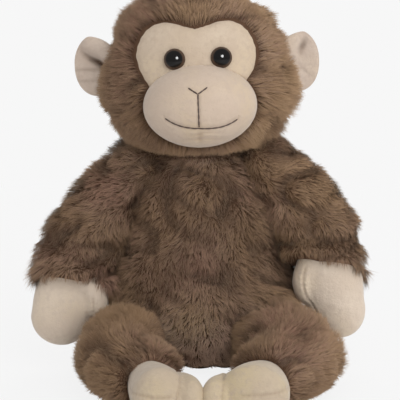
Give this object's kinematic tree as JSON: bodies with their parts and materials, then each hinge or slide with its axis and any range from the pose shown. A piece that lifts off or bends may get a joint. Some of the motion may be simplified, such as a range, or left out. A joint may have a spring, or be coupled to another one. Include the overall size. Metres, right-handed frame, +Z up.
{
  "type": "plush monkey",
  "caption": "Sitting plush monkey in long brown plush with a cream face, muzzle, ears, hands and feet. Its head turns and nods, its arms lift, its legs swing and its ears fold.",
  "frame": {"origin": "middle of the flat of the seat, on the surface that the toy sits on", "axes": "+Z up; the toy faces -Y; +X is its own left side"},
  "size_m": [0.2266, 0.2076, 0.2539],
  "materials": {
    "brown_plush": "long combed pile, leaning and clumped",
    "cream_velour": "short brushed pile",
    "face_velour": "short brushed pile, a little yellower",
    "muzzle_velour": "short brushed pile",
    "stuffing": "loose polyester fibre",
    "pouch_cloth": "woven pouch of plastic pellets",
    "eye_plastic": "polished dome, dark brown ring round black",
    "washer_plastic": "moulded, satin",
    "thread": "six-strand embroidery thread"
  },
  "bodies": {
    "torso": {"torso_skin": "brown_plush", "torso_stuffing": "stuffing", "seat_bean_bag": "pouch_cloth", "back_seam": "thread"},
    "neck": {"neck_gather": "brown_plush"},
    "head": {"head_skin": "brown_plush", "face_panel": "face_velour", "muzzle_panel": "muzzle_velour", "head_stuffing": "stuffing", "right_eye": "eye_plastic", "right_eye_washer": "washer_plastic", "left_eye": "eye_plastic", "left_eye_washer": "washer_plastic", "nose_stitching": "thread", "mouth_stitching": "thread"},
    "right_ear": {"right_ear_front": "cream_velour", "right_ear_back": "cream_velour"},
    "left_ear": {"left_ear_front": "cream_velour", "left_ear_back": "cream_velour"},
    "right_arm": {"right_arm_skin": "brown_plush", "right_hand_skin": "cream_velour", "right_arm_stuffing": "stuffing"},
    "left_arm": {"left_arm_skin": "brown_plush", "left_hand_skin": "cream_velour", "left_arm_stuffing": "stuffing"},
    "right_leg": {"right_leg_skin": "brown_plush", "right_foot_skin": "cream_velour", "right_leg_stuffing": "stuffing"},
    "left_leg": {"left_leg_skin": "brown_plush", "left_foot_skin": "cream_velour", "left_leg_stuffing": "stuffing"}
  },
  "joints": [
    {"name": "head_turn", "type": "hinge", "parent": "torso", "child": "neck", "pos_m": [0, 0.002, 0.146], "axis": [0, 0, 1], "range_deg": [-25, 25], "stiffness_Nm_per_rad": 0.3},
    {"name": "head_nod", "type": "hinge", "parent": "neck", "child": "head", "pos_m": [0, 0.002, 0.146], "axis": [1, 0, 0], "range_deg": [-10, 12], "stiffness_Nm_per_rad": 0.6},
    {"name": "left_arm_lift", "type": "hinge", "parent": "torso", "child": "left_arm", "pos_m": [0.043, 0, 0.133], "axis": [0, -1, 0], "range_deg": [0, 55], "stiffness_Nm_per_rad": 0.03},
    {"name": "right_arm_lift", "type": "hinge", "parent": "torso", "child": "right_arm", "pos_m": [-0.043, 0, 0.133], "axis": [0, 1, 0], "range_deg": [0, 55], "stiffness_Nm_per_rad": 0.03},
    {"name": "left_leg_swing", "type": "hinge", "parent": "torso", "child": "left_leg", "pos_m": [0.036, -0.02, 0.0235], "axis": [-1, 0, 0], "range_deg": [-60, 10], "stiffness_Nm_per_rad": 0.06},
    {"name": "right_leg_swing", "type": "hinge", "parent": "torso", "child": "right_leg", "pos_m": [-0.036, -0.02, 0.0235], "axis": [-1, 0, 0], "range_deg": [-60, 10], "stiffness_Nm_per_rad": 0.06},
    {"name": "left_ear_fold", "type": "hinge", "parent": "head", "child": "left_ear", "pos_m": [0.05604, 0.003, 0.20841], "axis": [-0.3375, 0, 0.9413], "range_deg": [-20, 20], "stiffness_Nm_per_rad": 0.02},
    {"name": "right_ear_fold", "type": "hinge", "parent": "head", "child": "right_ear", "pos_m": [-0.06025, 0.003, 0.20435], "axis": [-0.271, 0, -0.9626], "range_deg": [-20, 20], "stiffness_Nm_per_rad": 0.02}
  ]
}
